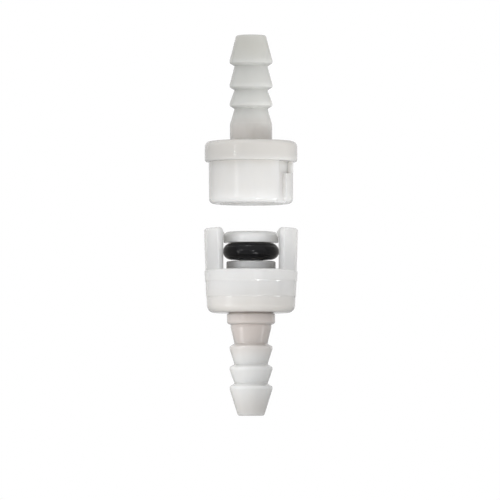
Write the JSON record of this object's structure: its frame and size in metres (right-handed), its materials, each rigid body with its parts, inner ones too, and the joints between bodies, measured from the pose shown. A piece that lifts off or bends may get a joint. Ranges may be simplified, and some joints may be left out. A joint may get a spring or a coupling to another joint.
{
  "type": "plastic quick disconnect coupling",
  "caption": "Twist-lock quick disconnect for small tubing: a socket and a plug with hose barbs, a turning locking collar with hooked arms and an O-ring seal, shown pulled apart.",
  "frame": {"origin": "centre of the plug's hose barb tip, on the flow axis", "axes": "+Z along the flow axis from the plug to the socket, +X towards the middle of one arm of the locking collar"},
  "size_m": [0.0176, 0.0174, 0.071],
  "materials": {
    "natural_plastic": "unpigmented, cloudy, satin",
    "black_rubber": "smooth, slightly shiny"
  },
  "bodies": {
    "socket": {"socket_body": "natural_plastic"},
    "plug": {"plug_stem": "natural_plastic", "o_ring": "black_rubber"},
    "collar": {"locking_collar": "natural_plastic"}
  },
  "joints": [
    {"name": "plug_slide", "type": "slide", "parent": "socket", "child": "plug", "axis": [0, 0, 1], "range_m": [0, 0.01215]},
    {"name": "collar_twist", "type": "hinge", "parent": "plug", "child": "collar", "pos_m": [0, 0, 0.0231], "axis": [0, 0, 1], "range_deg": [0, 25]}
  ]
}
